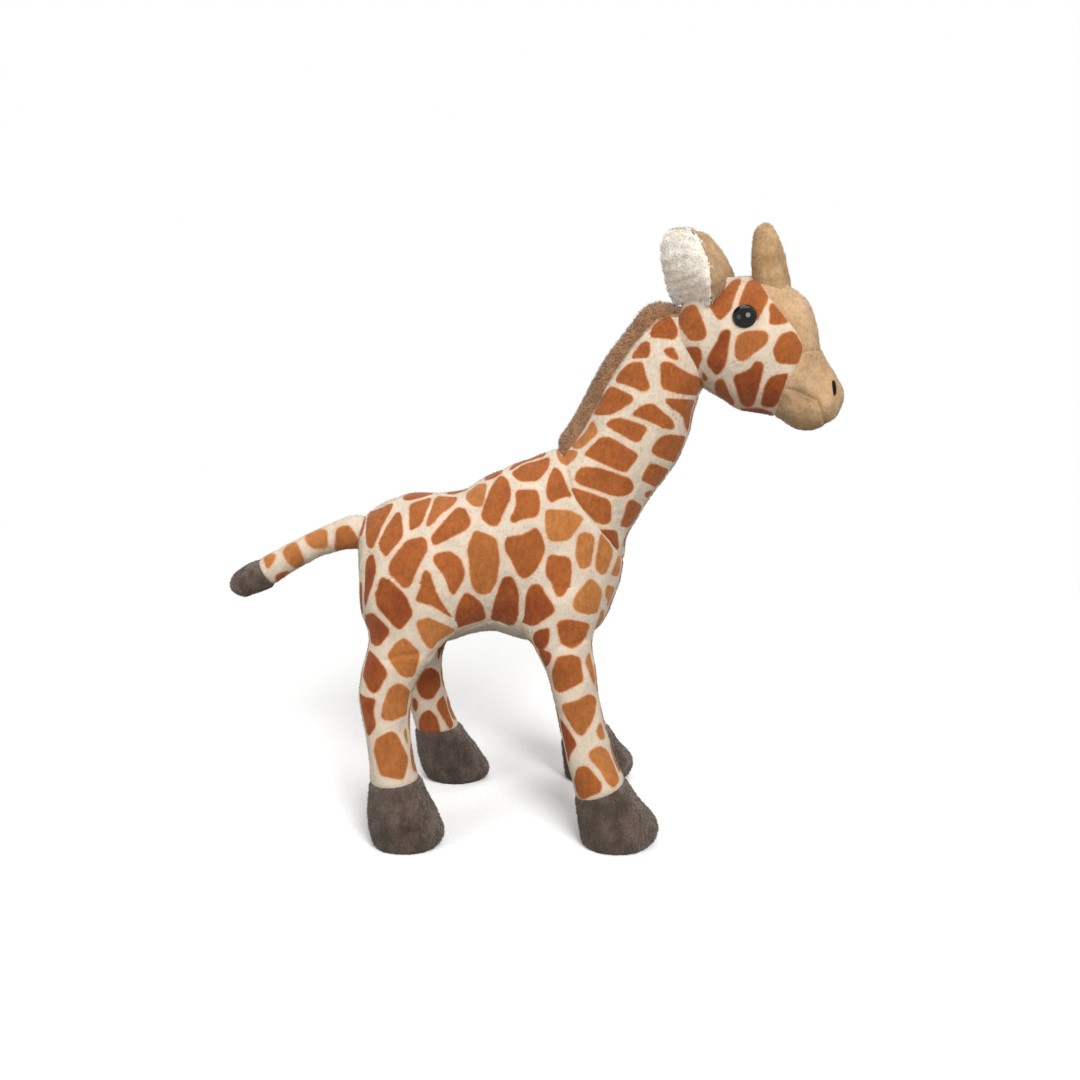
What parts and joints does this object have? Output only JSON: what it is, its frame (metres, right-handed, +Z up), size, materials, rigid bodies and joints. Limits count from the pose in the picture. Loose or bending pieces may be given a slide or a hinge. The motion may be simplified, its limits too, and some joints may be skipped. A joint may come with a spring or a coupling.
{
  "type": "plush giraffe",
  "caption": "Standing stuffed giraffe in printed short-pile plush, with a sewn-on mane, ears, horns and hooves and a neck, head, tail, ears and legs that bend at their seams.",
  "frame": {"origin": "centre of the toy's footprint box, on the surface it stands on", "axes": "+X towards the nose, +Y towards the toy's left side, +Z up"},
  "size_m": [0.3043, 0.1042, 0.3003],
  "materials": {
    "print_plush": "short-pile plush, printed",
    "cream_plush": "short-pile plush",
    "tan_plush": "short-pile plush",
    "dark_plush": "short-pile plush",
    "mane_plush": "longer pile",
    "lining_plush": "fluffy pile",
    "fibre_fill": "loose polyester fibre",
    "eye_plastic": "glossy",
    "washer_plastic": "matte",
    "black_thread": "satin stitch"
  },
  "bodies": {
    "body": {"body_skin": "print_plush", "belly_panel": "cream_plush", "body_filling": "fibre_fill"},
    "neck": {"neck_skin": "print_plush", "neck_filling": "fibre_fill", "mane": "mane_plush"},
    "head": {"head_skin": "print_plush", "forehead_panel": "tan_plush", "muzzle": "tan_plush", "chin_panel": "tan_plush", "head_filling": "fibre_fill", "eye_right": "eye_plastic", "eye_left": "eye_plastic", "eye_washer_right": "washer_plastic", "eye_washer_left": "washer_plastic", "nostril_right": "black_thread", "nostril_left": "black_thread", "horn_right": "tan_plush", "horn_left": "tan_plush"},
    "ear_right": {"ear_right": "tan_plush", "ear_lining_right": "lining_plush"},
    "ear_left": {"ear_left": "tan_plush", "ear_lining_left": "lining_plush"},
    "tail": {"tail": "print_plush", "tail_tip": "dark_plush"},
    "leg_hind_right": {"leg_hind_right": "print_plush", "hoof_hind_right": "dark_plush"},
    "leg_hind_left": {"leg_hind_left": "print_plush", "hoof_hind_left": "dark_plush"},
    "leg_fore_right": {"leg_fore_right": "print_plush", "hoof_fore_right": "dark_plush"},
    "leg_fore_left": {"leg_fore_left": "print_plush", "hoof_fore_left": "dark_plush"}
  },
  "joints": [
    {"name": "neck_bend", "type": "hinge", "parent": "body", "child": "neck", "pos_m": [0.03308, 0, 0.16997], "axis": [0, 1, 0], "range_deg": [-8, 8], "stiffness_Nm_per_rad": 1.5, "springref_deg": -1.15},
    {"name": "head_nod", "type": "hinge", "parent": "neck", "child": "head", "pos_m": [0.10307, 0, 0.24397], "axis": [0.2756, 0.9613, 0], "range_deg": [-10, 10], "stiffness_Nm_per_rad": 0.8},
    {"name": "ear_right_flop", "type": "hinge", "parent": "head", "child": "ear_right", "pos_m": [0.07566, -0.01398, 0.26447], "axis": [0.9613, -0.2756, 0], "range_deg": [-10, 10], "stiffness_Nm_per_rad": 0.1},
    {"name": "ear_left_flop", "type": "hinge", "parent": "head", "child": "ear_left", "pos_m": [0.08723, 0.02639, 0.26447], "axis": [0.9613, -0.2756, 0], "range_deg": [-10, 10], "stiffness_Nm_per_rad": 0.1},
    {"name": "tail_wag", "type": "hinge", "parent": "body", "child": "tail", "pos_m": [-0.0856, 0, 0.15], "axis": [0, 0, 1], "range_deg": [-20, 20], "stiffness_Nm_per_rad": 0.3},
    {"name": "leg_hind_right_swing", "type": "hinge", "parent": "body", "child": "leg_hind_right", "pos_m": [-0.05711, -0.023, 0.11], "axis": [0, 1, 0], "range_deg": [-10, 10], "stiffness_Nm_per_rad": 2},
    {"name": "leg_hind_left_swing", "type": "hinge", "parent": "body", "child": "leg_hind_left", "pos_m": [-0.0521, 0.023, 0.11], "axis": [0, 1, 0], "range_deg": [-10, 10], "stiffness_Nm_per_rad": 2},
    {"name": "leg_fore_right_swing", "type": "hinge", "parent": "body", "child": "leg_fore_right", "pos_m": [0.0154, -0.023, 0.108], "axis": [0, 1, 0], "range_deg": [-10, 10], "stiffness_Nm_per_rad": 2},
    {"name": "leg_fore_left_swing", "type": "hinge", "parent": "body", "child": "leg_fore_left", "pos_m": [0.0154, 0.023, 0.108], "axis": [0, 1, 0], "range_deg": [-10, 10], "stiffness_Nm_per_rad": 2}
  ]
}
